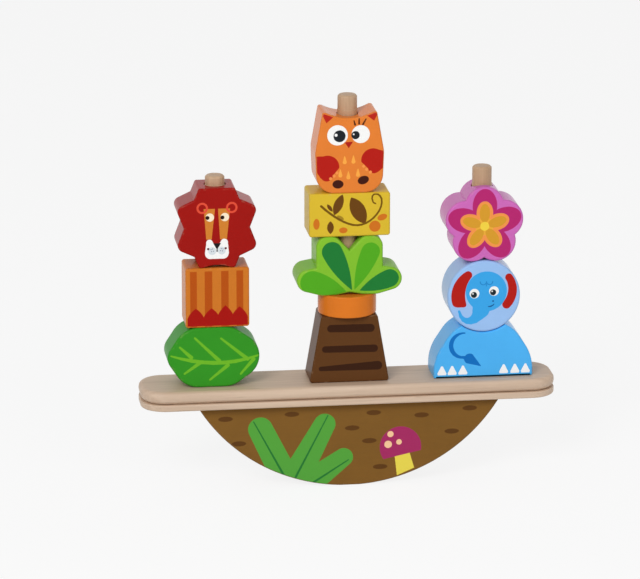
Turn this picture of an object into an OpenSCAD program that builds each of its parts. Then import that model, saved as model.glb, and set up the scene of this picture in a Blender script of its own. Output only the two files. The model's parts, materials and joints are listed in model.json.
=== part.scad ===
// Animal balance game: a plank with three pegs on a round-bottomed rocker, and eleven drilled blocks
// that are threaded on the pegs.
// X runs along the plank, -Y is the printed front, and the origin is under the middle of the rocker.

/* [Rocker and plank] */
// Radius of the rocker's round lower edge
rocker_r = 106; // [98:1:120]
// Length of the short flat under the rocker, on which the loaded toy comes to rest
rocker_flat = 12; // [8:1:20]
// Height of the rocker
rocker_h = 52; // [46:1:58]
// Thickness of the rocker, front to back
rocker_t = 28; // [22:1:34]
// Length of the plank
plank_l = 250; // [240:1:280]
// Width of the plank, front to back
plank_w = 41; // [36:1:50]
// Radius of the plank's corners, seen from above
plank_corner_r = 15; // [6:1:17]
// Thickness of the lower board of the plank
lower_board_t = 4; // [3:0.5:6]
// Thickness of the upper board of the plank
upper_board_t = 8; // [6:0.5:10]
// Diameter of the two joint dowels inside the rocker
dowel_d = 8; // [6:1:10]
// Distance of each joint dowel from the middle
dowel_x = 45; // [30:1:55]
// Depth of each joint dowel in the rocker
dowel_depth = 20; // [12:1:24]

/* [Pegs] */
// Diameter of the pegs
peg_d = 12; // [10:0.5:13]
// Distance of the left peg from the middle
left_peg_x = 79; // [76:0.1:84]
// Distance of the right peg from the middle
right_peg_x = 81; // [76:0.1:84]
// Length of the left peg above its blocks
left_tip = 5.5; // [4:0.5:16]
// Length of the middle peg above its blocks
middle_tip = 8.5; // [4:0.5:16]
// Length of the right peg above its blocks
right_tip = 10.5; // [4:0.5:16]
// How much the sanded free end of a peg is slimmer, on the radius
tip_relief = 0.2; // [0.1:0.1:0.5]
// Chamfer at the top of a peg
tip_chamfer = 1; // [0.5:0.25:1.5]

/* [Blocks] */
// Thickness of the blocks, front to back
block_t = 24; // [20:0.5:28]
// Radial clearance of a block's hole on its peg
hole_clear = 0.5; // [0.3:0.1:0.9]
// Gap at a seat of two curved faces
seat_gap = 0.3; // [0.2:0.05:0.5]
// Radius of the small corners of the straight blocks
corner_r = 1.6; // [1:0.1:2]

/* [Leaf] */
// Reach of the leaf to the left of its peg
leaf_left = 30; // [28:0.5:36]
// Reach of the leaf to the right of its peg, at the tip
leaf_right = 25; // [24:0.5:32]
// Height of the leaf
leaf_h = 37; // [35:0.5:44]
// Radius of the leaf's stem end, on the left
leaf_stem_r = 9; // [6:0.5:12]
// Radius of the leaf's four shoulders
leaf_shoulder_r = 16; // [13:0.5:17]
// Distance of the two shoulders at the stem end from the peg
leaf_back_x = 11; // [9:0.5:13]
// Distance of the two shoulders at the tip from the peg
leaf_front_x = 4; // [2:0.5:6]
// Radius of the leaf's blunt tip
leaf_tip_r = 14; // [10:0.5:15]

/* [Lion] */
// Width of the lion's body
lion_body_w = 38; // [34:0.5:44]
// Height of the lion's body
lion_body_h = 36.5; // [30:0.5:44]
// Width of the mane over its side lobes
mane_w = 46.6; // [45:0.2:52]
// Height of the mane
mane_h = 48.5; // [47:0.5:54]
// Width of the flat lobes at the top and the bottom of the mane
mane_flat_w = 22.5; // [20:0.5:24]
// Radius of the round side lobes of the mane
mane_lobe_r = 4.2; // [3:0.2:4.6]
// Height of the side lobes over and under the mane's middle
mane_lobe_z = 10.2; // [9.4:0.2:11]
// Width of the mane between its side notches
mane_waist_w = 39.4; // [37:0.2:41]
// Distance of each slanting notch of the mane from the middle line
mane_notch_x = 13.5; // [13:0.1:14.2]
// Height of the slanting notches over and under the mane's middle
mane_notch_z = 17.4; // [16.8:0.2:18.4]
// Depth of the hollow under the mane
mane_dent = 1.6; // [0.8:0.2:2.4]
// Width of the hollow under the mane
mane_dent_w = 16.5; // [15:0.5:18]

/* [Tree] */
// Width of the trunk at its foot
trunk_foot_w = 47.5; // [42:0.5:54]
// Width of the trunk at its top
trunk_top_w = 34.5; // [28:0.5:40]
// Height of the trunk
trunk_h = 41; // [34:0.5:48]
// Diameter of the pot
pot_d = 35; // [30:0.5:40]
// Height of the pot
pot_h = 13; // [9:0.5:18]

/* [Plant] */
// Width of the plant over its side leaves
plant_w = 63; // [60:0.5:70]
// Height of the plant
plant_h = 36; // [34:0.5:42]
// Radius of the plant's feet, where it stands on the pot
plant_foot_r = 8.3; // [7:0.1:9]
// Distance of the inner end of each foot from the middle
plant_foot_in = 9; // [8:0.5:11]
// Distance of the outer end of each foot from the middle
plant_foot_out = 16; // [14:0.5:18]
// Radius of the round ends of the side leaves
plant_lobe_r = 7; // [6:0.2:7.6]
// Height of those ends over the pot
plant_lobe_z = 9.3; // [8.6:0.1:9.6]
// Height of the fork between a side leaf and an upper leaf
plant_fork_z = 17.2; // [17:0.1:19]
// Width of the plant over its upper leaves
plant_top_w = 40; // [38:0.5:42]
// Radius of the tops of the upper leaves
plant_top_r = 6.5; // [5:0.5:7]
// Width of the flat seat on top of each upper leaf
plant_seat_w = 2.5; // [1.5:0.5:4]
// Height of the bottom of the notch between the upper leaves
plant_notch_z = 27.4; // [25:0.2:29]
// Rise of the hollow under the plant
plant_dent = 1.6; // [0.8:0.2:2.2]

/* [Branch block] */
// Width of the branch block
branch_w = 48.5; // [44:0.5:56]
// Height of the branch block
branch_h = 26.5; // [20:0.5:34]

/* [Owl] */
// Width of the owl
owl_w = 41; // [38:0.5:46]
// Height of the owl to the tips of its ears
owl_h = 49; // [46:0.5:56]
// Radius of the owl's lower corners
owl_foot_r = 11; // [8:0.5:13]
// How much each lower corner lies inside the owl's widest place
owl_foot_in = 0.5; // [0.2:0.1:1]
// Radius of the owl's sides
owl_side_r = 14; // [12:0.5:16]
// Height of the owl's widest place
owl_side_z = 24; // [22:0.5:27]
// Width of the owl over its ears
owl_ear_w = 33; // [30:0.5:36]
// Radius of the ear tips
owl_ear_r = 1.3; // [0.8:0.1:2]
// Width of the flat beside each ear tip
owl_ear_flat = 1; // [0.5:0.1:1.5]
// Depth of the dip between the ears
owl_dip = 3.5; // [2:0.25:5]

/* [Elephant] */
// Width of the elephant's body
elephant_w = 60; // [56:0.5:66]
// Radius of the elephant's flanks
flank_r = 28; // [24:0.5:29]
// Height of the elephant's widest place
flank_z = 4; // [3:0.5:6]
// Radius of the elephant's round shoulders
shoulder_r = 20; // [18:0.5:24]
// Distance of the middle of each shoulder's round from the elephant's side
shoulder_in = 25; // [23:0.5:27]
// Height of the middle of each shoulder's round
shoulder_z = 14; // [12.5:0.5:16]
// Height of the bottom of the hollow that takes the head
saddle_h = 28; // [26:0.5:29]
// Diameter of the elephant's head
head_d = 44; // [42:0.5:47]

/* [Flower] */
// Radius of one petal
petal_r = 12; // [11:0.25:13]
// Distance of each petal's middle from the flower's middle
petal_ring_r = 12; // [11:0.25:13]
// Number of petals
petals = 5; // [5:2:7]

/* [Hidden] */
$fn = 96;
// Radial gap of the glued dowel joints
glue_gap = 0.05;
// Length by which a cutter runs past what it cuts
over = 1;
// Depth of a straight edge inside the corner arcs at its ends, so that they cross
edge_sink = 0.002;

hole_d = peg_d + 2 * hole_clear;
plank_z = rocker_h + lower_board_t + upper_board_t;

// Heights of the seats, from the plank up each column
lion_body_z = plank_z + leaf_h;
lion_head_z = lion_body_z + lion_body_h;
left_stack_z = lion_head_z + mane_h;
pot_z = plank_z + trunk_h;
plant_z = pot_z + pot_h;
branch_z = plant_z + plant_h;
owl_z = branch_z + branch_h;
middle_stack_z = owl_z + owl_h;
head_z = plank_z + saddle_h + seat_gap;
// The two lowest petals straddle the head
petal_angle = 360 / petals;
petal_side = petal_ring_r * sin(petal_angle / 2);
petal_drop = petal_ring_r * cos(petal_angle / 2);
petal_lift = sqrt((head_d / 2 + petal_r + seat_gap) ^ 2 - petal_side ^ 2);
flower_z = head_z + head_d / 2 + petal_lift + petal_drop;
flower_top = petal_ring_r + petal_r;
right_stack_z = flower_z + flower_top;

wood = [0.85, 0.74, 0.62];
earth = [0.52, 0.37, 0.19];

// Outward direction of the straight edge that touches two corner circles [x, y, r], in turn
function edge_normal(a, b) =
    let (run = [b.x - a.x, b.y - a.y])
    let (length = norm(run))
    let (along = (a.z - b.z) / length)
    let (across = sqrt(1 - along ^ 2))
    [along * run.x + across * run.y, along * run.y - across * run.x] / length;

// The same corners on the other side of the middle line, in turn
function mirrored(corners) = [for (i = [len(corners) - 1 : -1 : 0]) [-corners[i].x, corners[i].y, corners[i].z]];

// Outline through corners [x, y, r], counterclockwise; an inward corner has no radius
module rounded(corners) {
    last = len(corners) - 1;
    inner = [for (corner = corners) [corner.x, corner.y, max(corner.z - edge_sink, 0)]];
    polygon([
        for (i = [0 : last])
            let (a = inner[i])
            let (b = inner[i == last ? 0 : i + 1])
            let (out = edge_normal(a, b))
            let (start = [a.x, a.y] + a.z * out)
            let (end = [b.x, b.y] + b.z * out)
            each (b.z > 0 ? [start, end] : [start])
    ]);
    for (corner = corners)
        if (corner.z > 0)
            translate([corner.x, corner.y])
                circle(r = corner.z);
}

// Upright outline with straight sides, standing on its foot
module straight_sides(foot_w, top_w, h) {
    right = [
        [foot_w / 2 - corner_r, corner_r, corner_r],
        [top_w / 2 - corner_r, h - corner_r, corner_r]
    ];
    rounded(concat(right, mirrored(right)));
}

// Block cut from an upright outline, with its hole along the peg at x
module block(x, z, h) {
    translate([x, 0, z])
        difference() {
            rotate([90, 0, 0])
                linear_extrude(height = block_t, center = true)
                    children();
            translate([0, 0, -over])
                cylinder(h = h + 2 * over, d = hole_d);
        }
}

// Rocker: a round segment with a short flat under it, and blind holes for the joint dowels
module rocker() {
    round_z = sqrt(rocker_r ^ 2 - rocker_flat ^ 2 / 4);
    color(earth)
        difference() {
            rotate([90, 0, 0])
                linear_extrude(height = rocker_t, center = true)
                    intersection() {
                        translate([0, round_z])
                            circle(r = rocker_r, $fn = 360);
                        translate([-rocker_r, 0])
                            square([2 * rocker_r, rocker_h]);
                    }
            for (side = [-1, 1])
                translate([side * dowel_x, 0, rocker_h - dowel_depth])
                    cylinder(h = dowel_depth + over, d = dowel_d + 2 * glue_gap);
        }
}

// Joint dowels: two solids, from the bottom of their holes to the top of the lower board
module rocker_dowels() {
    color(wood)
        for (side = [-1, 1])
            translate([side * dowel_x, 0, rocker_h - dowel_depth])
                cylinder(h = dowel_depth + lower_board_t, d = dowel_d);
}

// One board of the plank, drilled for the pegs
module board(z, t) {
    corner_x = plank_l / 2 - plank_corner_r;
    corner_y = plank_w / 2 - plank_corner_r;
    right = [[corner_x, -corner_y, plank_corner_r], [corner_x, corner_y, plank_corner_r]];
    left = [[-corner_x, corner_y, plank_corner_r], [-corner_x, -corner_y, plank_corner_r]];
    difference() {
        translate([0, 0, z])
            linear_extrude(height = t)
                rounded(concat(right, left));
        for (x = [-left_peg_x, 0, right_peg_x])
            translate([x, 0, z - over])
                cylinder(h = t + 2 * over, d = peg_d + 2 * glue_gap);
    }
}

module lower_board() {
    color(wood)
        difference() {
            board(rocker_h, lower_board_t);
            for (side = [-1, 1])
                translate([side * dowel_x, 0, rocker_h - over])
                    cylinder(h = lower_board_t + 2 * over, d = dowel_d + 2 * glue_gap);
        }
}

module upper_board() {
    color(wood)
        board(rocker_h + lower_board_t, upper_board_t);
}

// Peg from the underside of the plank to its chamfered free end
module peg(x, stack_z, tip) {
    peg_r = peg_d / 2;
    tip_r = peg_r - tip_relief;
    top = stack_z + tip - rocker_h;
    color(wood)
        translate([x, 0, rocker_h])
            rotate_extrude()
                polygon([
                    [0, 0],
                    [peg_r, 0],
                    [peg_r, stack_z - rocker_h],
                    [tip_r, stack_z - rocker_h],
                    [tip_r, top - tip_chamfer],
                    [tip_r - tip_chamfer, top],
                    [0, top]
                ]);
}

module left_peg() {
    peg(-left_peg_x, left_stack_z, left_tip);
}

module middle_peg() {
    peg(0, middle_stack_z, middle_tip);
}

module right_peg() {
    peg(right_peg_x, right_stack_z, right_tip);
}

// Leaf: a narrow stem end, two flat seats between round shoulders, and a blunt tip
module leaf_block() {
    top_z = leaf_h - leaf_shoulder_r;
    color([0.2, 0.55, 0.17])
        block(-left_peg_x, plank_z, leaf_h)
            rounded([
                [-leaf_back_x, leaf_shoulder_r, leaf_shoulder_r],
                [leaf_front_x, leaf_shoulder_r, leaf_shoulder_r],
                [leaf_right - leaf_tip_r, leaf_h / 2, leaf_tip_r],
                [leaf_front_x, top_z, leaf_shoulder_r],
                [-leaf_back_x, top_z, leaf_shoulder_r],
                [leaf_stem_r - leaf_left, leaf_h / 2, leaf_stem_r]
            ]);
}

module lion_body() {
    color([0.82, 0.46, 0.14])
        block(-left_peg_x, lion_body_z, lion_body_h)
            straight_sides(lion_body_w, lion_body_w, lion_body_h);
}

// Lion's head: flat lobes at the top and bottom of the mane, and two round lobes on each side
module lion_head() {
    middle = mane_h / 2;
    flat_x = mane_flat_w / 2 - corner_r;
    lobe_x = mane_w / 2 - mane_lobe_r;
    dent_r = (mane_dent_w ^ 2 / 4 + mane_dent ^ 2) / (2 * mane_dent);
    right = [
        [flat_x, corner_r, corner_r],
        [mane_notch_x, middle - mane_notch_z, 0],
        [lobe_x, middle - mane_lobe_z, mane_lobe_r],
        [mane_waist_w / 2, middle, 0],
        [lobe_x, middle + mane_lobe_z, mane_lobe_r],
        [mane_notch_x, middle + mane_notch_z, 0],
        [flat_x, mane_h - corner_r, corner_r]
    ];
    color([0.6, 0.09, 0.07])
        block(-left_peg_x, lion_head_z, mane_h)
            difference() {
                rounded(concat(right, mirrored(right)));
                translate([0, mane_dent - dent_r])
                    circle(r = dent_r);
            }
}

module tree_trunk() {
    color([0.36, 0.23, 0.12])
        block(0, plank_z, trunk_h)
            straight_sides(trunk_foot_w, trunk_top_w, trunk_h);
}

// Pot: a round disc that stands proud of the trunk
module pot_ring() {
    color([0.87, 0.47, 0.14])
        translate([0, 0, pot_z])
            difference() {
                cylinder(h = pot_h, d = pot_d);
                translate([0, 0, -over])
                    cylinder(h = pot_h + 2 * over, d = hole_d);
            }
}

// Plant: a side leaf and an upper leaf on each side, with a notch between the upper leaves
module plant_block() {
    top_x = plant_top_w / 2 - plant_top_r;
    right = [
        [plant_foot_in, plant_foot_r, plant_foot_r],
        [plant_foot_out, plant_foot_r, plant_foot_r],
        [plant_w / 2 - plant_lobe_r, plant_lobe_z, plant_lobe_r],
        [plant_top_w / 2, plant_fork_z, 0],
        [top_x, plant_h - plant_top_r, plant_top_r],
        [top_x - plant_seat_w, plant_h - plant_top_r, plant_top_r]
    ];
    color([0.49, 0.75, 0.18])
        block(0, plant_z, plant_h)
            rounded(concat([[0, plant_dent, 0]], right, [[0, plant_notch_z, 0]], mirrored(right)));
}

module branch_block() {
    color([0.86, 0.73, 0.2])
        block(0, branch_z, branch_h)
            straight_sides(branch_w, branch_w, branch_h);
}

// Owl: a barrel with round lower corners and two ears beside a dip
module owl_block() {
    ear_x = owl_ear_w / 2 - owl_ear_r;
    dip_x = ear_x - owl_ear_flat;
    dip_r = (dip_x ^ 2 + owl_dip ^ 2) / (2 * owl_dip);
    right = [
        [owl_w / 2 - owl_foot_in - owl_foot_r, owl_foot_r, owl_foot_r],
        [owl_w / 2 - owl_side_r, owl_side_z, owl_side_r],
        [ear_x, owl_h - owl_ear_r, owl_ear_r]
    ];
    color([0.9, 0.51, 0.2])
        block(0, owl_z, owl_h)
            difference() {
                rounded(concat(right, mirrored(right)));
                translate([0, owl_h - owl_dip + dip_r])
                    circle(r = dip_r);
            }
}

// Elephant's body: a dome of round flanks and shoulders, and a hollow on top that takes the head
module elephant_body() {
    saddle_r = head_d / 2 + seat_gap;
    dome_h = shoulder_z + shoulder_r;
    right = [
        [elephant_w / 2 - corner_r, corner_r, corner_r],
        [elephant_w / 2 - flank_r, flank_z, flank_r],
        [elephant_w / 2 - shoulder_in, shoulder_z, shoulder_r]
    ];
    color([0.31, 0.7, 0.98])
        block(right_peg_x, plank_z, dome_h)
            difference() {
                intersection() {
                    rounded(concat(right, mirrored(right)));
                    translate([-elephant_w / 2, 0])
                        square([elephant_w, dome_h]);
                }
                translate([0, saddle_h + saddle_r])
                    circle(r = saddle_r);
            }
}

module elephant_head() {
    color([0.6, 0.76, 0.95])
        block(right_peg_x, head_z, head_d)
            translate([0, head_d / 2])
                circle(d = head_d);
}

// Flower: round petals on a ring, with one petal up
module flower_block() {
    color([0.8, 0.41, 0.73])
        block(right_peg_x, flower_z - flower_top, 2 * flower_top)
            translate([0, flower_top])
                for (i = [0 : petals - 1])
                    rotate(90 + i * petal_angle)
                        translate([petal_ring_r, 0])
                            circle(r = petal_r);
}

rocker();
rocker_dowels();
lower_board();
upper_board();
left_peg();
middle_peg();
right_peg();
leaf_block();
lion_body();
lion_head();
tree_trunk();
pot_ring();
plant_block();
branch_block();
owl_block();
elephant_body();
elephant_head();
flower_block();
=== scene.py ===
# %% [markdown]
# # A wooden animal balance game
#
# The toy is a plank on a round-bottomed rocker, with three pegs that carry drilled animal and plant blocks.
# The packed CAD model is the fixed frame: it says where each piece is and which body it moves with.
# This lesson gives each piece sanded edges, paint and prints, and leaves every size as it is.

# %% Load the frame
import functools
import json
import math

import bmesh
import bpy
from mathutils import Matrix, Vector
from mathutils.geometry import interpolate_bezier

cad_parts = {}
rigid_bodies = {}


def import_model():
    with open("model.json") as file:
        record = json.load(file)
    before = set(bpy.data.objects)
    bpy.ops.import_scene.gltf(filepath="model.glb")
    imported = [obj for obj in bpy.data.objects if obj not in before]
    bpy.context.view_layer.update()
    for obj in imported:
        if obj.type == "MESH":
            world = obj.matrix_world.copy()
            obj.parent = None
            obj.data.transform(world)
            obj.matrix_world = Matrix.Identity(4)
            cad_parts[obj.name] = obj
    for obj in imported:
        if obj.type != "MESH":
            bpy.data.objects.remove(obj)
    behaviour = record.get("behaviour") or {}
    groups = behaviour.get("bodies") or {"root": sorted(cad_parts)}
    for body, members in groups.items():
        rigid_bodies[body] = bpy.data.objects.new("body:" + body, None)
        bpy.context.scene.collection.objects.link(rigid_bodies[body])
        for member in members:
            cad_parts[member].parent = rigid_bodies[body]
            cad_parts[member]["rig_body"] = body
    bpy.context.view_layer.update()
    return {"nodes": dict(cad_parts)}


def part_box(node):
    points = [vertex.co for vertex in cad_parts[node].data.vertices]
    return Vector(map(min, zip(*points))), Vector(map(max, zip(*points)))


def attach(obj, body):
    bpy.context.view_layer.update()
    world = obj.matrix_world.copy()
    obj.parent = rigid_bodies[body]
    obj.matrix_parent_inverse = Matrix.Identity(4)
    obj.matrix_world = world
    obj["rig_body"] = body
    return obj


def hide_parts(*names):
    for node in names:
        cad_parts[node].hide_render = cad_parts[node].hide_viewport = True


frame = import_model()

MM = 0.001

# %% [markdown]
# ## Camera
#
# The photograph looks at the printed fronts from a little above and a little to the left.
# A camera could be turned by hand until it fits. Here it is set by two angles, a distance and the point it
# looks at, so that each of the four can be corrected by itself.

# %% Place the camera
AIM = Vector((-0.01623, 0.0, 0.11879))
AZIMUTH = math.radians(-7.5)
ELEVATION = math.radians(15.5)
DISTANCE = 2.6
LENS = 245.06

away = Vector((math.sin(AZIMUTH) * math.cos(ELEVATION), -math.cos(AZIMUTH) * math.cos(ELEVATION),
               math.sin(ELEVATION)))
camera = bpy.data.objects.new("camera", bpy.data.cameras.new("camera"))
camera.location = AIM + DISTANCE * away
camera.rotation_euler = away.to_track_quat("Z", "Y").to_euler()
camera.data.lens = LENS
bpy.context.scene.collection.objects.link(camera)
bpy.context.scene.camera = camera
print("camera at", [round(c, 3) for c in camera.location])

# %% [markdown]
# ## Shader maths as Python
#
# A print on wood is a set of flat shapes, and a shader can draw them from signed distances: numbers that are
# negative inside a shape and positive outside it. In the node editor that takes hundreds of Math nodes.
# A small class that wraps a socket lets them be written as expressions. The `|` of two distances is the
# nearer one, which joins two shapes, and `&` is the farther one, which keeps what they share. Both also have
# a smooth form, which fills or rounds the corner where two outlines meet.

# %% Wrap a socket
def math_forms(operation):
    """The plain and the reflected form of an operator that adds one Math node."""

    def plain(self, other):
        return self.node("Math", {"operation": operation}, {0: self, 1: other})

    def reflected(self, other):
        return self.node("Math", {"operation": operation}, {0: other, 1: self})

    return plain, reflected


class Wire:
    """A socket in a material's node tree, on which arithmetic adds nodes."""

    def __init__(self, tree, socket=None):
        self.tree = tree
        self.socket = socket

    def node(self, kind, settings, sockets, out=0):
        """Add a node: its type, its settings first, then the values or wires of its sockets."""
        made = self.tree.nodes.new("ShaderNode" + kind)
        for name, value in settings.items():
            setattr(made, name, value)
        for name, value in sockets.items():
            if isinstance(value, Wire):
                self.tree.links.new(value.socket, made.inputs[name])
            else:
                made.inputs[name].default_value = value
        return Wire(self.tree, made.outputs[out])

    __add__, __radd__ = math_forms("ADD")
    __sub__, __rsub__ = math_forms("SUBTRACT")
    __mul__, __rmul__ = math_forms("MULTIPLY")
    __or__, __ror__ = math_forms("MINIMUM")
    __and__, __rand__ = math_forms("MAXIMUM")

    def __neg__(self):
        return self * -1.0

    def __abs__(self):
        return self.node("Math", {"operation": "ABSOLUTE"}, {0: self})

    def line(self, slope, offset):
        """A straight line of this value, kept between 0 and 1."""
        return self.node("Math", {"operation": "MULTIPLY_ADD", "use_clamp": True},
                         {0: self, 1: slope, 2: offset})

    def melted(self, other, reach):
        """Both shapes, with the corner between them filled."""
        return self.node("Math", {"operation": "SMOOTH_MIN"}, {0: self, 1: other, 2: reach})

    def rounded(self, other, reach):
        """What two shapes share, with the corners rounded."""
        return self.node("Math", {"operation": "SMOOTH_MAX"}, {0: self, 1: other, 2: reach})

    def mix(self, under, over):
        """The colour `under`, covered by `over` where this mask is 1."""
        return self.node("Mix", {"data_type": "RGBA"}, {0: self, 6: under, 7: over}, 2)


def joined(shapes):
    """One shape that covers several."""
    return functools.reduce(lambda one, other: one | other, shapes)


def shared(shapes):
    """What several shapes have in common."""
    return functools.reduce(lambda one, other: one & other, shapes)


print("methods of a wire:", [name for name in vars(Wire) if not name.startswith("_")])

# %% [markdown]
# ## A ruler on a printed face
#
# Each block's print is drawn in millimetres, with x from the block's peg and z from its foot, as one would
# measure it with a ruler. The prints could be cut out of thin meshes, but ink has no thickness, so the shader
# draws it. Real ink has a slightly uneven edge, which a little noise in the coordinates gives.

# %% Measure on a face
INK_EDGE = 0.22
INK_WOBBLE = 0.22
WOBBLE_WAVES = 900.0


class Ruler:
    """Places on the face of a block, in millimetres from its peg and its foot."""

    def __init__(self, place, x, z):
        here = place.node("VectorMath", {"operation": "MULTIPLY_ADD"},
                          {0: place, 1: (1 / MM, 0, 1 / MM), 2: (-x / MM, 0, -z / MM)})
        uneven = place.node("TexNoise", {}, {"Vector": place, "Scale": WOBBLE_WAVES, "Detail": 2.0}, "Color")
        half = INK_WOBBLE / 2
        drift = place.node("VectorMath", {"operation": "MULTIPLY_ADD"},
                           {0: uneven, 1: (INK_WOBBLE, 0, INK_WOBBLE), 2: (-half, 0, -half)})
        self.at = place.node("VectorMath", {"operation": "ADD"}, {0: here, 1: drift})
        self.x = self.along(1, 0)
        self.z = self.along(0, 1)

    def along(self, x, z):
        """How far a point lies along a direction."""
        return self.at.node("VectorMath", {"operation": "DOT_PRODUCT"}, {0: self.at, 1: (x, 0, z)}, "Value")

    def distance(self, x, z):
        """How far a point lies from a place."""
        return self.at.node("VectorMath", {"operation": "DISTANCE"}, {0: self.at, 1: (x, 0, z)}, "Value")

    def side(self, a, b):
        """Everything on the left of the line from a to b."""
        dx, dz = b[0] - a[0], b[1] - a[1]
        length = math.hypot(dx, dz)
        return self.along(dz / length, -dx / length) - (a[0] * dz - a[1] * dx) / length


print("ink edges are soft over", INK_EDGE, "mm")

# %% [markdown]
# ## Flat shapes
#
# Most of the prints are made of a few flat shapes. Each could be an outline through many points, but a
# distance is one formula, and it also gives the ink its soft edge. A disc is the distance to its centre, less
# its radius, and an oval is a disc in stretched coordinates. A plate with straight edges is what the left
# sides of all its edges share, and a leaf with two points is what two large discs share.

# %% Draw flat shapes
class Shapes(Ruler):
    """Flat shapes on a face, as signed distances."""

    def disc(self, x, z, radius):
        """A full circle."""
        return self.distance(x, z) - radius

    def ring(self, x, z, radius, width):
        """A band along a circle."""
        return abs(self.disc(x, z, radius)) - width / 2

    def oval(self, x, z, across, up, turn=0.0):
        """An ellipse from its two half sizes, turned anticlockwise as the front is seen."""
        unit = self.at.node("Mapping", {"vector_type": "TEXTURE"},
                            {"Vector": self.at, "Location": (x, 0, z), "Scale": (across, 1, up),
                             "Rotation": (0, -math.radians(turn), 0)})
        reach = self.at.node("VectorMath", {"operation": "LENGTH"}, {0: unit}, "Value")
        return (reach - 1.0) * min(across, up)

    def plate(self, *corners):
        """A shape with straight edges, from its corners anticlockwise."""
        return shared([self.side(a, b) for a, b in zip(corners, corners[1:] + corners[:1])])

    def leaf(self, a, b, half):
        """A leaf from point to point, with half its width."""
        dx, dz = b[0] - a[0], b[1] - a[1]
        length = math.hypot(dx, dz)
        radius = (length ** 2 / 4 + half ** 2) / (2 * half)
        out_x, out_z = (radius - half) * -dz / length, (radius - half) * dx / length
        mid_x, mid_z = (a[0] + b[0]) / 2, (a[1] + b[1]) / 2
        return (self.disc(mid_x + out_x, mid_z + out_z, radius)
                & self.disc(mid_x - out_x, mid_z - out_z, radius))


print("flat shapes:", [name for name in vars(Shapes) if not name.startswith("_")])

# %% [markdown]
# ## Strokes
#
# Veins, stems and bars are drawn as with a brush. A stroke is the distance to the nearest point of a
# straight line, less a half width that may change on the way. For a curved one, a curve object could be made
# into a mesh, but here too ink is flat. So a Bezier curve is walked in short strokes that melt together.

# %% Draw strokes
BEND_STEPS = 9
MELT = 0.4


class Face(Shapes):
    """The printed face of a block, with all that can be drawn on it."""

    def stroke(self, a, b, start, end=None, bow=False):
        """A round-ended stroke whose half width goes from start to end; bow keeps it wide for longer."""
        end = start if end is None else end
        dx, dz = b[0] - a[0], b[1] - a[1]
        square = dx ** 2 + dz ** 2
        from_a = self.at.node("VectorMath", {"operation": "SUBTRACT"}, {0: self.at, 1: (a[0], 0, a[1])})
        part = self.at.node("VectorMath", {"operation": "DOT_PRODUCT"},
                            {0: from_a, 1: (dx / square, 0, dz / square)}, "Value").line(1.0, 0.0)
        foot = self.at.node("VectorMath", {"operation": "SCALE"}, {0: (dx, 0, dz), "Scale": part})
        gap = self.at.node("VectorMath", {"operation": "DISTANCE"}, {0: from_a, 1: foot}, "Value")
        if start == end:
            return gap - start
        return gap - ((part * part if bow else part) * (end - start) + start)

    def bend(self, a, handle_a, handle_b, b, *widths):
        """Short strokes along a Bezier curve, with half widths that are spread evenly along it."""
        spots = interpolate_bezier(Vector(a), Vector(handle_a), Vector(handle_b), Vector(b), BEND_STEPS)
        spans = len(widths) - 1
        halves = []
        for step in range(BEND_STEPS):
            share = spans * step / (BEND_STEPS - 1)
            span = min(int(share), spans - 1)
            halves.append(widths[span] + (widths[span + 1] - widths[span]) * (share - span))
        whole = self.stroke(spots[0], spots[1], halves[0], halves[1])
        for near, far, start, end in zip(spots[1:], spots[2:], halves[1:], halves[2:]):
            whole = whole.melted(self.stroke(near, far, start, end), MELT * start)
        return whole


print("a bend has", BEND_STEPS - 1, "strokes")

# %% [markdown]
# ## Colours
#
# A colour is judged on a display in steps of 0 to 255 on a curved scale, while a shader works on a straight
# scale. Colours could be written on that scale, but such numbers are hard to picture. So one helper converts,
# and colours are written in the familiar way.

# %% Convert colours
def rgb(red, green, blue):
    """A colour from its steps on a display, on the straight scale."""

    def straight(step):
        step /= 255
        return step / 12.92 if step <= 0.04045 else ((step + 0.055) / 1.055) ** 2.4

    return straight(red), straight(green), straight(blue), 1.0


def shade(colour, amount):
    """A darker or lighter form of a colour."""
    return tuple(min(part * amount, 1.0) for part in colour[:3]) + (1.0,)


WHITE = rgb(250, 250, 248)
BARE_WOOD = rgb(214, 184, 150)
print("bare wood on the straight scale:", [round(part, 3) for part in BARE_WOOD])

# %% [markdown]
# ## Satin paint
#
# The blocks are dipped or sprayed with a satin paint, through which the wood's grain still shows as a faint
# relief, and then printed. A Principled shader with a clear coat gives the pale sheen of the sides, which are
# seen at a flat angle. A plain colour would look like plastic, so the colour drifts a little.
# Every material starts alike, and most of its detail is noise that is stretched along the grain.

# %% Start a material
NOISE_ROUGHNESS = 0.55


def start_material(name):
    """A new material, its shader and a wire on the place of the point in metres."""
    material = bpy.data.materials.new(name)
    material.use_nodes = True
    tree = material.node_tree
    place = Wire(tree).node("TexCoord", {}, {}, "Object")
    return material, tree.nodes["Principled BSDF"], place


def link(wire, shader, socket):
    """Lead a wire to a socket of a shader."""
    wire.tree.links.new(wire.socket, shader.inputs[socket])


def noise(place, scale, detail, spread=(1, 1, 1)):
    """Noise from 0 to 1, with its own number of waves to the metre along each axis."""
    waves = tuple(scale * part for part in spread)
    stretched = place.node("Mapping", {}, {"Vector": place, "Scale": waves})
    return place.node("TexNoise", {},
                      {"Vector": stretched, "Scale": 1.0, "Detail": detail, "Roughness": NOISE_ROUGHNESS})


print("noise roughness", NOISE_ROUGHNESS)

# %% [markdown]
# The print is on the front, and repeated on the back. It could be a material of its own on the flat faces,
# but then the paint under it would end there. So one material has both, and the depth of a point from front
# to back says whether ink reaches it: it stops where an edge starts to round off. Where hands have rubbed the
# rounded edges, the paint is thin and duller. The pieces differ in their gloss, which `sheen` sets.

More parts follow.
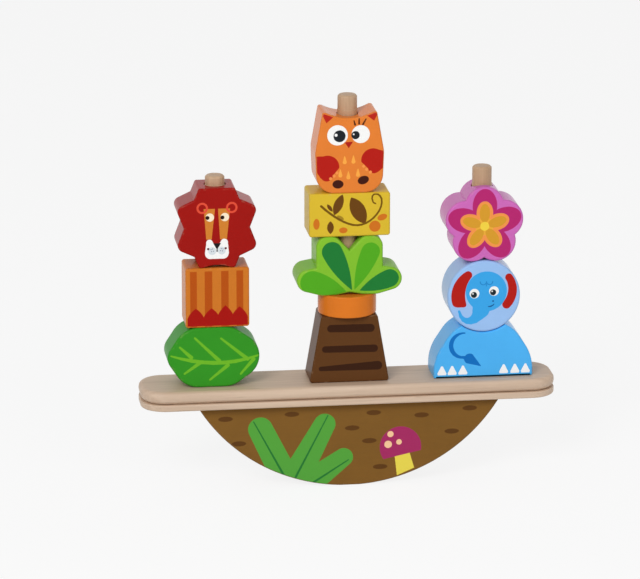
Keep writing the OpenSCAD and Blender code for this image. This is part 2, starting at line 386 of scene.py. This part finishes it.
# %% Mix the paint
# Waves are counted to the metre, and a pair is the slope and the offset of a line. A print has faded out at
# PRINT_DEPTH under the face and fades over PRINT_FADE, both in millimetres.
PAINT_ROUGHNESS = 0.36
COAT_ROUGHNESS = 0.24
COAT_IOR = 1.16
SPECULAR_LEVEL = 0.03
DRIFT_WAVES = 55.0
GRAIN_WAVES = 60.0
GRAIN_SPREAD = (1, 14, 14)
PRINT_DEPTH = 0.35
PRINT_FADE = 0.25
WEAR = 0.18
WEAR_WAVES = 320.0
WEAR_PATCHES = (5.0, -2.7)
RELIEF = 0.12 * MM
RELIEF_WAVES = 1500.0


def paint(name, coat, node, peg, sketch=None, mottle=0.08, sheen=1.0):
    """Satin paint for a node, with the print that its sketch draws in inks on the face."""
    material, shader, place = start_material(name)
    drift = noise(place, DRIFT_WAVES, 3.0)
    grain = noise(place, GRAIN_WAVES, 5.0, GRAIN_SPREAD)
    colour = (drift * 0.7 + grain * 0.3).mix(shade(coat, 1 - mottle), shade(coat, 1 + mottle))
    if sketch:
        low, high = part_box(node)
        depth = abs(place.node("VectorMath", {"operation": "DOT_PRODUCT"},
                               {0: place, 1: (0, 1 / MM, 0)}, "Value"))
        on_face = depth.line(1 / PRINT_FADE, (PRINT_DEPTH - high.y / MM) / PRINT_FADE)
        face = Face(place, peg, low.z)
        for shape, ink in sketch(face):
            colour = (shape.line(-1 / INK_EDGE, 0.5) * on_face).mix(colour, ink)
    rim = place.node("Attribute", {"attribute_name": "rim"}, {}, "Fac")
    worn = rim * noise(place, WEAR_WAVES, 3.0).line(*WEAR_PATCHES)
    link((worn * WEAR).mix(colour, shade(BARE_WOOD, 0.9)), shader, "Base Color")
    link(drift * 0.12 + worn * 0.15 + PAINT_ROUGHNESS, shader, "Roughness")
    relief = grain * 0.7 + noise(place, RELIEF_WAVES, 2.0) * 0.3
    bump = place.node("Bump", {}, {"Strength": 0.25, "Distance": RELIEF, "Height": relief})
    link(bump, shader, "Normal")
    shader.inputs["Specular IOR Level"].default_value = SPECULAR_LEVEL
    shader.inputs["Coat Weight"].default_value = sheen
    shader.inputs["Coat IOR"].default_value = COAT_IOR
    shader.inputs["Coat Roughness"].default_value = COAT_ROUGHNESS
    return material


print("paint roughness", PAINT_ROUGHNESS, "coat IOR", COAT_IOR)

# %% [markdown]
# ## Sanded edges
#
# A sawn block is tumbled or sanded, so that no edge is sharp. The CAD solid has crisp edges, and its mesh is
# loose triangles, so a copy is merged, its flat triangles are dissolved into whole faces, and the edges round
# the front and the back are bevelled with an operator. A Bevel modifier would round every edge alike, while
# here bores get a smaller bevel, and inner corners, which sandpaper doesn't reach, stay crisp. A bevel must
# be narrower than the corners' own radius, or its faces fold over.

# %% Choose the edges
SHARP = math.radians(25.0)
FACING = 0.99
HOLE_RADIUS = 6.6 * MM
HOLE_EDGE = 0.4


def on_outline(line):
    """Whether an edge runs round the front or the back of a sawn block."""
    return any(abs(face.normal.y) > FACING for face in line.link_faces)


def in_hole(line, peg):
    """Whether an edge runs round the hole for a peg."""
    return peg is not None and all(math.hypot(v.co.x - peg, v.co.y) < HOLE_RADIUS for v in line.verts)


def sharp_edges(shape, edge, peg):
    """The sharp edges by the size of their bevel; edge is millimetres, or a function of an edge's middle."""
    groups = {}
    for line in shape.edges:
        if line.is_convex and line.calc_face_angle() > SHARP:
            if in_hole(line, peg):
                groups.setdefault(HOLE_EDGE, []).append(line)
            elif callable(edge):
                groups.setdefault(edge((line.verts[0].co + line.verts[1].co) / 2), []).append(line)
            elif on_outline(line):
                groups.setdefault(edge, []).append(line)
    return groups


print("edges are sharp from", round(math.degrees(SHARP)), "degrees")

# %% [markdown]
# The vertices in a bevel carry an attribute, `rim`, which tells the paint where it wears. A shader can find
# edges by itself from how pointed a mesh is, but that changes with how fine the mesh is, and an attribute
# doesn't. The Weighted Normal modifier keeps the shading of the large flat faces even, right up to the
# rounded edges.

# %% Soften a copy of a node
SAME_PLACE = 0.01 * MM
FLAT = math.radians(0.4)
CRISP = math.radians(40.0)
EDGE_STEPS = 4


def softened(node, name, edge, peg):
    """A merged copy of a node with rounded edges, and how many edges it has that aren't closed."""
    shape = bmesh.new()
    shape.from_mesh(frame["nodes"][node].data)
    bmesh.ops.remove_doubles(shape, verts=shape.verts[:], dist=SAME_PLACE)
    bmesh.ops.dissolve_limit(shape, angle_limit=FLAT, use_dissolve_boundaries=False,
                             verts=shape.verts[:], edges=shape.edges[:], delimit=set())
    rim = shape.verts.layers.float.new("rim")
    for size, lines in sharp_edges(shape, edge, peg).items():
        made = bmesh.ops.bevel(shape, geom=lines, offset=size * MM, offset_type="OFFSET", segments=EDGE_STEPS,
                               profile=0.5, affect="EDGES", material=-1, clamp_overlap=False)
        bevelled = set(made["faces"])
        for vert in made["verts"]:
            if all(face in bevelled for face in vert.link_faces):
                vert[rim] = 1.0
    for face in shape.faces:
        face.smooth = True
    for line in shape.edges:
        line.smooth = line.calc_face_angle(0.0) < CRISP
    mesh = bpy.data.meshes.new(name)
    shape.to_mesh(mesh)
    open_edges = sum(not line.is_manifold for line in shape.edges)
    shape.free()
    piece = bpy.data.objects.new(name, mesh)
    bpy.context.scene.collection.objects.link(piece)
    piece.modifiers.new("even shading", "WEIGHTED_NORMAL").keep_sharp = True
    return piece, open_edges


print("a rounded edge has", EDGE_STEPS, "steps")

# %% [markdown]
# A CAD node could keep its place and get only a material, but its edges would stay crisp. So each softened
# copy stands for its node: it rides on the node's body, so that it moves with the joints, and has a material
# of its own, and the CAD solid stays, hidden, for collision.


def dress(node, ending, material, edge, peg=None):
    """Put a softened copy in a node's place, on its body and with its own material, and hide the node."""
    piece, open_edges = softened(node, f"{node}_{ending}", edge, peg)
    piece.data.materials.append(material)
    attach(piece, frame["nodes"][node]["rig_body"])
    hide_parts(node)
    print(piece.name, "faces", len(piece.data.polygons), "open edges", open_edges)


def middle_x(node):
    """The middle of a node from left to right."""
    low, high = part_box(node)
    return (low.x + high.x) / 2


LEFT, MIDDLE, RIGHT = (middle_x(peg) for peg in ("left_peg", "middle_peg", "right_peg"))
print("pegs at", [round(x / MM, 2) for x in (LEFT, MIDDLE, RIGHT)])

# %% [markdown]
# ## Bare wood
#
# Plank and pegs are sanded hardwood under a thin clear finish. A wood photograph could be wrapped round them,
# but noise that is stretched along the grain gives fibres, broad growth bands and dark pores at any size, and
# also the speckled end grain, because the same noise is cut across there.

# %% Mix the wood
FIBRE_WAVES = 16.0
BAND_WAVES = 5.0
PORE_WAVES = 55.0
PORE_SPECKS = (9.0, -5.6)
WOOD_CONTRAST = (2.2, -0.6)
FIBRE_RELIEF = 0.15 * MM
ALONG_X = (1, 30, 30)
ALONG_Z = (30, 30, 1)


def wood(name, light, dark, grain):
    """Sanded wood with fibres along the axis that has the fewest waves."""
    material, shader, place = start_material(name)
    fibres = noise(place, FIBRE_WAVES, 5.0, grain)
    bands = noise(place, BAND_WAVES, 2.0, tuple(part ** 0.75 for part in grain))
    pores = noise(place, PORE_WAVES, 2.0, grain).line(*PORE_SPECKS)
    colour = (fibres * 0.55 + bands * 0.45).line(*WOOD_CONTRAST).mix(dark, light)
    link((pores * 0.4).mix(colour, shade(dark, 0.62)), shader, "Base Color")
    link(fibres * 0.16 + 0.46, shader, "Roughness")
    relief = fibres - pores * 0.5
    bump = place.node("Bump", {}, {"Strength": 0.3, "Distance": FIBRE_RELIEF, "Height": relief})
    link(bump, shader, "Normal")
    shader.inputs["Coat Weight"].default_value = 0.15
    shader.inputs["Coat Roughness"].default_value = 0.35
    return material


plank_wood = wood("plank wood", rgb(222, 197, 173), rgb(192, 164, 139), ALONG_X)
peg_wood = wood("peg wood", rgb(208, 174, 140), rgb(176, 141, 108), ALONG_Z)
print("woods:", plank_wood.name, "and", peg_wood.name)

# %% [markdown]
# ## Plank and pegs
#
# The plank is two boards glued face to face. The upper one is round at its top and drawn in at the glue line,
# which shows as a groove, and the lower one is a thin sheet with small edges. One bevel all round would lose
# that groove, so each board has one for its top and another for its foot. Its bores stay crisp, because pegs
# fill them. The pegs are turned, so their edges are rounded alike. The two hidden dowels under the plank keep
# their CAD shape and only get the pegs' wood.

# %% Dress the plank and the pegs
PEG_EDGE = 0.3
BOARD_EDGES = {"upper_board": (3.0, 4.0), "lower_board": (0.5, 1.2)}
BORE_EDGE = 0.04
BORE_ZONE = 8.0 * MM


def board_edge(board):
    """The bevel of each edge of a board, by where the edge's middle is."""
    low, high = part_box(board)
    top_edge, foot_edge = BOARD_EDGES[board]

    def size(middle):
        if abs(middle.y) < BORE_ZONE and abs(middle.x) < high.x - BORE_ZONE:
            return BORE_EDGE
        return top_edge if middle.z > (low.z + high.z) / 2 else foot_edge

    return size


def everywhere(size):
    """One bevel for every sharp edge of a turned piece."""
    return lambda middle: size


for board in BOARD_EDGES:
    dress(board, "sanded", plank_wood, board_edge(board))
for peg in ("left_peg", "middle_peg", "right_peg"):
    dress(peg, "sanded", peg_wood, everywhere(PEG_EDGE))
frame["nodes"]["rocker_dowels"].data.materials.clear()
frame["nodes"]["rocker_dowels"].data.materials.append(peg_wood)

# %% [markdown]
# ## Rocker
#
# The rocker is a thick brown board with a round lower edge. Its print is scattered dashes, a tuft of three
# broad leaves that grows from the round edge, and a toadstool with a spotted cap. An image could be wrapped
# round the board, but it has a fixed fineness, while shapes in a shader stay clear from close by. The dashes
# are all alike, so a list of their places is enough.

# %% Print the rocker
DASHES = [(-74.9, 44.4), (-35.0, 45.9), (-67.0, 28.7), (14.4, 45.0), (43.4, 42.4), (72.6, 45.6), (61.8, 31.5),
          (1.4, 35.9), (11.8, 27.5), (18.4, 10.9)]


def rocker_print(face):
    dashes = joined(face.oval(x, z, 4.4, 1.6) for x, z in DASHES)
    tuft = (face.stroke((-54.0, 37.3), (-38.0, 4.0), 7.4, 8.2)
            | face.stroke((-15.3, 38.9), (-34.0, 4.0), 6.6, 9.0)
            | face.stroke((-3.9, 17.7), (-24.0, 3.0), 5.8, 8.0))
    ribs = (face.stroke((-58.0, 42.0), (-39.5, 7.0), 0.35, 0.7)
            | face.stroke((-13.3, 44.3), (-34.0, 4.0), 0.35, 0.7)
            | face.stroke((-0.9, 16.0), (-23.0, 2.0), 0.35, 0.7))
    stem = face.plate((28.6, 5.0), (39.1, 9.4), (36.0, 20.0), (27.1, 18.0))
    cap = face.oval(30.7, 22.8, 12.6, 12.9, 12.0) & face.side((16.5, 14.6), (44.5, 20.6))
    spots = face.disc(24.6, 31.1, 1.9) | face.disc(23.2, 24.7, 2.3) | face.disc(29.8, 26.0, 1.7)
    return [(dashes, rgb(95, 60, 22)), (tuft, rgb(86, 165, 62)), (ribs, rgb(40, 120, 52)),
            (stem, rgb(238, 220, 84)), (cap, rgb(168, 46, 100)), (spots, rgb(252, 206, 160))]


rocker_paint = paint("rocker paint", rgb(128, 90, 38), "rocker", MIDDLE, rocker_print, mottle=0.16)
dress("rocker", "painted", rocker_paint, edge=1.2)

# %% [markdown]
# ## Leaf
#
# The lowest block of the left column is a plump green leaf, with one long vein and six short ones printed on
# it. The veins could be lines of one width, but these get thinner towards the edge, as a brush draws them. So
# a short vein is a stroke with two widths, and the long one is a bend.

# %% Print the leaf
SHORT_VEINS = [((-15.9, 18.9), (-22.7, 25.4)), ((0.7, 16.4), (-13.7, 30.8)), ((17.7, 16.9), (1.9, 30.1)),
               ((-10.7, 15.5), (-20.0, 9.0)), ((5.9, 13.4), (-4.8, 4.8)), ((21.3, 16.6), (13.6, 7.8))]


def leaf_print(face):
    long_vein = face.bend((-27.9, 20.2), (-12.0, 14.8), (6.0, 12.6), (24.2, 19.0), 0.5, 1.1, 1.2, 1.1, 0.6)
    veins = long_vein | joined(face.stroke(a, b, 1.15, 0.6) for a, b in SHORT_VEINS)
    return [(veins, rgb(112, 186, 42))]


leaf_paint = paint("leaf paint", rgb(54, 150, 38), "leaf_block", LEFT, leaf_print, sheen=0.3)
dress("leaf_block", "painted", leaf_paint, edge=1.5, peg=LEFT)

# %% [markdown]
# ## Lion's body
#
# An upright orange block with four darker stripes, and a red band at its foot that ends in pointed arches.
# The arches could be drawn corner by corner, but each is the upper half of a leaf shape. So four leaves stand
# on the band's foot and are cut off there. A stripe is only the distance to its middle line.

# %% Print the lion's body
STRIPES = [(-16.3, -12.3), (-7.6, -3.1), (2.2, 6.6), (11.3, 15.3)]
ARCHES = [(-13.0, 12.0), (-3.6, 11.9), (4.7, 13.5), (13.1, 12.5)]
BAND_FOOT = 1.1


def lion_body_print(face):
    stripes = joined(abs(face.x - (a + b) / 2) - (b - a) / 2 for a, b in STRIPES)
    arches = joined(face.leaf((x, z), (x, 2 * BAND_FOOT - z), 5.9) for x, z in ARCHES)
    band = arches & (BAND_FOOT - face.z)
    return [(stripes & (face.z - 34.6), rgb(184, 82, 18)), (band & (abs(face.x) - 18.0), rgb(168, 20, 14))]


lion_body_paint = paint("lion body paint", rgb(208, 120, 40), "lion_body", LEFT, lion_body_print, sheen=0.6)
dress("lion_body", "painted", lion_body_paint, edge=1.1, peg=LEFT)

# %% [markdown]
# ## Lion's head
#
# The head is a red block whose lobes stand for the mane. The face is a printed white muzzle under two orange
# halves, with eyes that look aside and two ring-shaped ears. A raised muzzle could be modelled, but the real
# one is flat ink. Later inks cover earlier ones, so the face is built up from its large shapes to its small
# ones, as a painter does.

# %% Print the lion's head
WHISKERS = [(-3.7, 11.4), (-2.7, 11.7), (-3.4, 10.2), (-2.2, 10.4),
            (3.4, 11.6), (2.4, 11.8), (3.1, 10.4), (1.9, 10.6)]


def lion_head_print(face):
    ears = face.ring(-8.75, 36.7, 2.8, 1.25) | face.ring(8.75, 36.7, 2.8, 1.25)
    halves = (face.plate((-6.5, 17.6), (-3.3, 17.6), (-1.2, 36.2), (-7.9, 36.2))
              | face.plate((1.7, 17.6), (5.8, 17.6), (7.7, 36.2), (0.6, 36.2)))
    eyes = face.disc(-4.3, 31.0, 2.5) | face.disc(4.6, 31.0, 2.5)
    pupils = face.disc(-5.7, 30.8, 1.2) | face.disc(3.2, 30.8, 1.2)
    muzzle = (face.stroke((-4.6, 15.6), (-3.4, 10.0), 1.9, 4.0)
              | face.stroke((4.2, 15.6), (3.0, 10.0), 2.2, 4.0)
              | face.stroke((-4.1, 8.8), (3.6, 8.8), 3.1))
    nose = face.plate((-0.1, 11.2), (2.3, 15.2), (-2.4, 15.2)) | face.stroke((-0.1, 11.8), (-0.1, 10.2), 0.35)
    pads = face.disc(-3.0, 10.5, 2.4) | face.disc(2.7, 10.7, 2.4)
    whiskers = joined(face.disc(x, z, 0.32) for x, z in WHISKERS)
    corners = face.disc(-5.4, 11.8, 0.7) | face.disc(5.0, 12.0, 0.7)
    return [(halves, rgb(212, 130, 48)), (ears, rgb(228, 80, 56)), (eyes, rgb(252, 236, 206)),
            (pupils, rgb(38, 20, 10)), (muzzle, WHITE), (pads, rgb(218, 226, 230)), (nose, rgb(26, 24, 26)),
            (whiskers, rgb(130, 140, 158)), (corners, rgb(96, 46, 52))]


lion_head_paint = paint("lion head paint", rgb(160, 20, 14), "lion_head", LEFT, lion_head_print, sheen=0.75)
dress("lion_head", "painted", lion_head_paint, edge=1.3, peg=LEFT)

# %% [markdown]
# ## Tree trunk and pot
#
# The middle column starts with a brown trunk that narrows upwards, with three dark bars of bark, each a
# stroke that is a little thicker at one end. The orange ring on it is the pot of the plant above. It is
# turned, not sawn, and has no print. A new ring could be spun, but the copy of the solid is round already, so
# only its edges are rounded, all alike.

# %% Print the trunk and paint the pot
POT_EDGE = 0.9


def trunk_print(face):
    bars = (face.stroke((-11.2, 33.7), (12.6, 33.3), 2.3, 2.5)
            | face.stroke((-14.6, 20.9), (14.8, 20.6), 2.0, 2.3)
            | face.stroke((-17.2, 8.9), (17.0, 9.9), 1.4, 2.7))
    return [(bars, rgb(58, 32, 18))]


trunk_paint = paint("trunk paint", rgb(96, 60, 30), "tree_trunk", MIDDLE, trunk_print, sheen=0.3)
dress("tree_trunk", "painted", trunk_paint, edge=1.1, peg=MIDDLE)
pot_paint = paint("pot paint", rgb(224, 122, 36), "pot_ring", MIDDLE)
dress("pot_ring", "painted", pot_paint, everywhere(POT_EDGE), peg=MIDDLE)

# %% [markdown]
# ## Plant
#
# A lime block with four lobes, each with a printed leaf in it. A leaf is round at its tip and pointed at its
# foot. Two large discs would make it pointed at both ends, so it is a stroke whose half width shrinks to
# almost nothing. With `bow` it stays wide for longer, which gives the leaf its belly.

# %% Print the plant
def plant_print(face):
    light = (face.stroke((-22.4, 8.4), (-2.3, 2.4), 7.2, 0.2, bow=True)
             | face.stroke((12.5, 26.4), (3.0, 3.6), 5.6, 0.2, bow=True))
    dark = (face.stroke((-10.6, 27.0), (1.2, 3.4), 6.1, 0.2, bow=True)
            | face.stroke((24.0, 9.7), (6.2, 2.8), 5.5, 0.2, bow=True))
    return [(light, rgb(84, 172, 34)), (dark, rgb(34, 124, 54))]


plant_paint = paint("plant paint", rgb(132, 194, 50), "plant_block", MIDDLE, plant_print, sheen=0.4)
dress("plant_block", "painted", plant_paint, edge=1.4, peg=MIDDLE)

# %% [markdown]
# ## Branch
#
# A plain yellow oblong with a sprig printed on it: a thin stem that sags and curls up at its end, a few brown
# leaves and some orange spots. One curve can't make both the long sag and the tight curl, so three bends
# follow each other, and each starts where the last one ends and goes on the same way.

# %% Print the branch
def branch_print(face):
    stem = (face.bend((-17.1, 19.1), (-11.0, 13.2), (-2.0, 6.8), (4.5, 6.8), 0.7, 0.62)
            | face.bend((4.5, 6.8), (11.5, 6.8), (18.6, 13.8), (19.1, 20.2), 0.62, 0.54)
            | face.bend((19.1, 20.2), (19.8, 27.2), (10.6, 27.6), (14.0, 20.4), 0.54, 0.45)
            | face.stroke((14.0, 20.4), (15.3, 19.8), 0.45))
    leaves = (face.leaf((-9.4, 13.4), (-4.3, 25.9), 2.7) | face.leaf((9.2, 7.6), (0.8, 23.9), 4.4)
              | face.leaf((-11.6, 9.8), (-11.5, 2.0), 2.0) | face.leaf((-13.6, 20.2), (-10.3, 15.6), 1.1))
    bud = face.leaf((-7.8, 13.0), (-3.4, 10.5), 1.0)
    spots = (face.oval(-19.9, 8.2, 1.9, 3.3) | face.oval(-3.9, 4.0, 2.5, 1.8) | face.disc(15.0, 5.9, 3.4)
             | face.oval(19.4, 11.3, 3.0, 1.9, 20.0))
    return [(spots, rgb(210, 116, 34)), (bud, rgb(166, 132, 38)), (leaves, rgb(108, 68, 22)),
            (stem, rgb(118, 84, 20))]


branch_paint = paint("branch paint", rgb(222, 188, 52), "branch_block", MIDDLE, branch_print, sheen=0.4)
dress("branch_block", "painted", branch_paint, edge=1.3, peg=MIDDLE)

# %% [markdown]
# ## Owl
#
# The owl has two ears at the top, wings at its sides and large eyes that look at each other. A wing could be
# one long curve, but it is easier to correct as a stroke for its round side and a plate that fills it out to
# the block's edge. The pale scallops at the foot of a wing are small discs that are drawn after it.

# %% Print the owl
SCALLOPS = [(-7.7, 12.6), (-9.4, 10.8), (-11.5, 9.2), (8.2, 16.2), (10.0, 14.2), (12.2, 12.5)]
DOWN = [(-3.1, 20.2), (2.1, 20.4), (-5.7, 12.2), (-0.9, 10.9), (4.8, 12.3)]


def owl_print(face):
    ears = (face.plate((-14.0, 42.8), (-9.9, 46.4), (-17.0, 49.0))
            | face.plate((14.4, 43.6), (17.4, 49.5), (9.6, 47.2)))
    wings = (face.stroke((-13.4, 16.2), (-13.8, 11.4), 7.1, 3.8)
             | face.stroke((13.7, 19.9), (14.4, 15.3), 7.0, 3.6)
             | face.plate((-19.6, 13.0), (-17.4, 9.6), (-14.0, 8.0), (-13.0, 22.9), (-20.5, 22.9))
             | face.plate((13.0, 12.2), (17.0, 12.6), (21.0, 16.0), (21.0, 25.0), (15.0, 26.6)))
    scallops = joined(face.disc(x, z, 0.9) for x, z in SCALLOPS)
    eyes = face.disc(-7.4, 35.4, 6.1) | face.disc(6.4, 35.7, 5.4)
    pupils = face.disc(-6.2, 34.8, 3.6) | face.disc(3.3, 35.2, 2.5)
    glints = face.disc(-8.3, 35.5, 0.9) | face.disc(2.2, 35.7, 0.5)
    lashes = (face.stroke((3.0, 41.5), (2.4, 43.9), 0.6, 0.35)
              | face.stroke((5.4, 42.1), (5.4, 45.1), 0.6, 0.35)
              | face.stroke((7.7, 41.6), (9.5, 44.8), 0.6, 0.35))
    beak = face.plate((-0.7, 27.4), (1.8, 31.3), (-3.3, 31.1))
    down = joined(face.stroke((x, z - 1.2), (x, z + 2.2), 1.2, 0.3) for x, z in DOWN)
    feet = face.oval(-7.1, 5.7, 3.3, 2.6) | face.oval(8.0, 7.8, 3.4, 2.5, 18.0)
    return [(wings, rgb(184, 28, 18)), (scallops, rgb(248, 152, 76)), (ears, rgb(188, 38, 26)),
            (eyes, WHITE), (pupils, rgb(28, 34, 40)), (glints, WHITE), (lashes, rgb(84, 40, 18)),
            (beak, rgb(176, 30, 22)), (down, rgb(252, 172, 72)), (feet, rgb(64, 22, 10))]


owl_paint = paint("owl paint", rgb(232, 130, 52), "owl_block", MIDDLE, owl_print)
dress("owl_block", "painted", owl_paint, edge=1.2, peg=MIDDLE)

# %% [markdown]
# ## Elephant's body
#
# A blue block with a hollow on top, in which the round head sits. Six white toenails and a tail are printed
# on it. The tail could be a bend, but a crescent is already thin at its ends and wide between them, so it is
# one disc taken out of another, of which the left half is kept. It ends in a tuft of two strokes.

# %% Print the elephant's body
TOENAILS = [(-25.1, 2.1), (-18.9, 2.1), (-12.4, 2.1), (12.4, 2.0), (19.2, 2.0), (25.6, 2.0)]


def elephant_body_print(face):
    tail = (face.disc(-12.8, 20.2, 8.2) & -face.disc(-11.2, 20.4, 7.1)
            & face.side((-11.0, 10.0), (-11.0, 30.0)))
    tuft = (face.stroke((-8.4, 11.8), (-1.6, 7.1), 3.3, 0.2)
            | face.stroke((-12.9, 12.9), (-8.4, 12.0), 0.8, 1.6))
    nails = joined(face.stroke((x, z + 1.2), (x, z + 4.8), 2.7, 0.8) & (z - face.z) for x, z in TOENAILS)
    return [(tail | tuft, rgb(16, 112, 194)), (nails, rgb(250, 252, 255))]


elephant_body_paint = paint("elephant body paint", rgb(80, 182, 252), "elephant_body", RIGHT,
                            elephant_body_print)
dress("elephant_body", "painted", elephant_body_paint, edge=1.2, peg=RIGHT)

# %% [markdown]
# ## Elephant's head
#
# A pale blue disc with the face printed on it: a round blue head whose trunk curls up to the left, and two
# red ears. An ear could be a bend, but its outer and inner rims have two different centres. So it is a
# crescent between two discs, cut off by straight lines and closed by small discs, and the left one also runs
# out softly at its foot. The trunk gets thinner on its way, so it is a bend.

# %% Print the elephant's head
def elephant_head_print(face):
    left_ear = (face.disc(-2.2, 22.4, 17.6) & -face.disc(6.6, 23.0, 18.0)
                & face.side((0.17, 24.18), (-9.79, 35.4)) | face.disc(-9.79, 35.4, 2.55))
    left_ear = left_ear.rounded(15.6 - face.z, 4.0)
    right_ear = (face.disc(4.2, 25.4, 15.7) & -face.disc(2.4, 26.2, 12.2)
                 & face.side((14.97, 33.4), (2.42, 25.18)) & face.side((2.52, 26.51), (13.78, 16.6))
                 | face.disc(14.97, 33.4, 2.28) | face.disc(13.78, 16.6, 2.69))
    brow = face.disc(1.4, 25.0, 12.4)
    trunk = face.bend((-1.0, 17.0), (-2.6, 6.0), (-13.0, 3.2), (-15.0, 13.2), 6.4, 3.3, 2.2, 1.4, 0.7)
    eyes = face.disc(-5.8, 23.9, 2.95) | face.disc(6.0, 25.1, 2.95)
    pupils = face.disc(-6.1, 23.1, 1.85) | face.disc(5.5, 24.3, 1.85)
    glints = face.disc(-6.7, 23.8, 0.45) | face.disc(4.9, 25.0, 0.45)
    smile = (face.bend((2.7, 15.6), (3.7, 15.4), (5.2, 15.9), (6.0, 17.0), 0.3, 0.4, 0.3)
             | face.disc(5.5, 18.9, 0.55))
    curls = ((face.ring(-0.5, 31.1, 1.9, 0.6) | face.ring(3.3, 31.1, 1.9, 0.6)) & (face.z - 31.3)
             | face.stroke((1.4, 29.5), (1.4, 28.4), 0.3))
    return [(left_ear | right_ear, rgb(182, 28, 20)), (brow | trunk, rgb(60, 168, 236)), (eyes, WHITE),
            (pupils, rgb(26, 40, 46)), (glints, WHITE), (smile, rgb(30, 92, 150)),
            (curls, rgb(40, 136, 206))]


elephant_head_paint = paint("elephant head paint", rgb(158, 196, 244), "elephant_head", RIGHT,
                            elephant_head_print)
dress("elephant_head", "painted", elephant_head_paint, edge=1.5, peg=RIGHT)

# %% [markdown]
# ## Flower
#
# Five pink lobes carry a printed flower of five petals, with two smaller flowers in it and a round heart. The
# petals could be drawn one by one. But all are alike, so the angle round the centre is folded into one fifth
# of a turn and a single petal is drawn, which then appears five times.

# %% Print the flower
FLOWER_CENTRE = 21.708
FIFTH = math.tau / 5


def flower_print(face):
    up = face.z - FLOWER_CENTRE
    angle = face.at.node("Math", {"operation": "ARCTAN2"}, {0: face.x, 1: up})
    folded = face.at.node("Math", {"operation": "WRAP"}, {0: angle, 1: FIFTH / 2, 2: -FIFTH / 2})
    reach = face.distance(0, FLOWER_CENTRE)
    outward = reach * face.at.node("Math", {"operation": "COSINE"}, {0: folded})
    aside = reach * face.at.node("Math", {"operation": "SINE"}, {0: folded})

    def petal(ring, length, half):
        unit = face.at.node("CombineXYZ", {}, {0: (outward - ring) * (1 / length), 1: aside * (1 / half)})
        return (face.at.node("VectorMath", {"operation": "LENGTH"}, {0: unit}, "Value") - 1.0) * half

    return [(petal(12.3, 10.6, 7.4), rgb(184, 40, 112)), (petal(8.0, 7.3, 5.0), rgb(246, 152, 76)),
            (reach - 5.4, rgb(240, 176, 60)), (petal(8.0, 5.7, 3.1), rgb(218, 157, 46)),
            (reach - 2.7, rgb(246, 214, 70))]


flower_paint = paint("flower paint", rgb(208, 108, 188), "flower_block", RIGHT, flower_print)
dress("flower_block", "painted", flower_paint, edge=1.4, peg=RIGHT)

# %% [markdown]
# ## Floor
#
# The toy stands on a white floor that fills the view. Strong lamps could make it white, but they would bleach
# the paint as well. So the floor glows a little in what the camera and reflections see, without more light on
# the toy, and it keeps a soft shadow.

# %% Lay the floor
FLOOR_SIZE = 20.0
FLOOR_GLOW = 0.85
FLOOR_WAVES = 3.0
SEEN_RAYS = ("Is Camera Ray", "Is Glossy Ray", "Is Transmission Ray")


def seen_rays(wire):
    """1 for a ray from the camera, from a reflection or through glass: the largest of three masks."""
    camera_ray, glossy_ray, clear_ray = (wire.node("LightPath", {}, {}, name) for name in SEEN_RAYS)
    return camera_ray & glossy_ray & clear_ray


ground = bmesh.new()
bmesh.ops.create_grid(ground, x_segments=1, y_segments=1, size=FLOOR_SIZE / 2)
floor_mesh = bpy.data.meshes.new("floor")
ground.to_mesh(floor_mesh)
ground.free()
floor = bpy.data.objects.new("floor", floor_mesh)
bpy.context.scene.collection.objects.link(floor)
floor_material, floor_shader, floor_place = start_material("floor paper")
floor_colour = noise(floor_place, FLOOR_WAVES, 3.0).mix(rgb(246, 246, 246), rgb(250, 250, 250))
link(floor_colour, floor_shader, "Base Color")
floor_shader.inputs["Roughness"].default_value = 0.9
floor_shader.inputs["Specular IOR Level"].default_value = 0.1
paper = Wire(floor_place.tree, floor_shader.outputs[0])
glow = floor_place.node("Emission", {}, {"Color": (1.0, 1.0, 1.0, 1.0), "Strength": 1.0})
glowing = floor_place.node("MixShader", {}, {0: seen_rays(floor_place) * FLOOR_GLOW, 1: paper, 2: glow})
link(glowing, floor_place.tree.nodes["Material Output"], "Surface")
floor_mesh.materials.append(floor_material)
print("floor", FLOOR_SIZE, "m wide, glow", FLOOR_GLOW)

# %% [markdown]
# ## Lamps
#
# A wide soft lamp at the upper left models the rounded edges and the pegs, and a weak one fills from the
# right. A sun would be simpler to place, but its shadows are hard, while a studio has wide soft boxes. Each
# lamp is turned towards the point that the camera looks at.

# %% Hang the lamps
# A lamp has a name, a place and a width in metres, and a power in watts.
LAMPS = [("key", (-1.1, -1.9, 1.6), 1.0, 33.0), ("fill", (1.2, -1.8, 1.0), 1.4, 9.0)]

for name, place, size, watts in LAMPS:
    lamp = bpy.data.lights.new(name, "AREA")
    lamp.size = size
    lamp.energy = watts
    holder = bpy.data.objects.new(name, lamp)
    holder.location = place
    holder.rotation_euler = (Vector(place) - AIM).to_track_quat("Z", "Y").to_euler()
    bpy.context.scene.collection.objects.link(holder)
    print(name, "lamp", watts, "W")

# %% [markdown]
# ## World
#
# The world gives an even light from all round. One white background could both light the toy and be seen, but
# then its light would be too strong. So two are mixed: the weak one lights, and the white one is seen.

# %% Light the world
WORLD_LIGHT = 0.34

world = bpy.data.worlds.new("studio")
world.use_nodes = True
bpy.context.scene.world = world
sky = Wire(world.node_tree)
lights = sky.node("Background", {}, {"Color": (1.0, 1.0, 1.0, 1.0), "Strength": WORLD_LIGHT})
white = sky.node("Background", {}, {"Color": (1.0, 1.0, 1.0, 1.0), "Strength": 1.0})
shown = sky.node("MixShader", {}, {0: seen_rays(sky), 1: lights, 2: white})
link(shown, world.node_tree.nodes["World Output"], "Surface")
bpy.context.scene.view_settings.view_transform = "Standard"
print("world light", WORLD_LIGHT)

# %% [markdown]
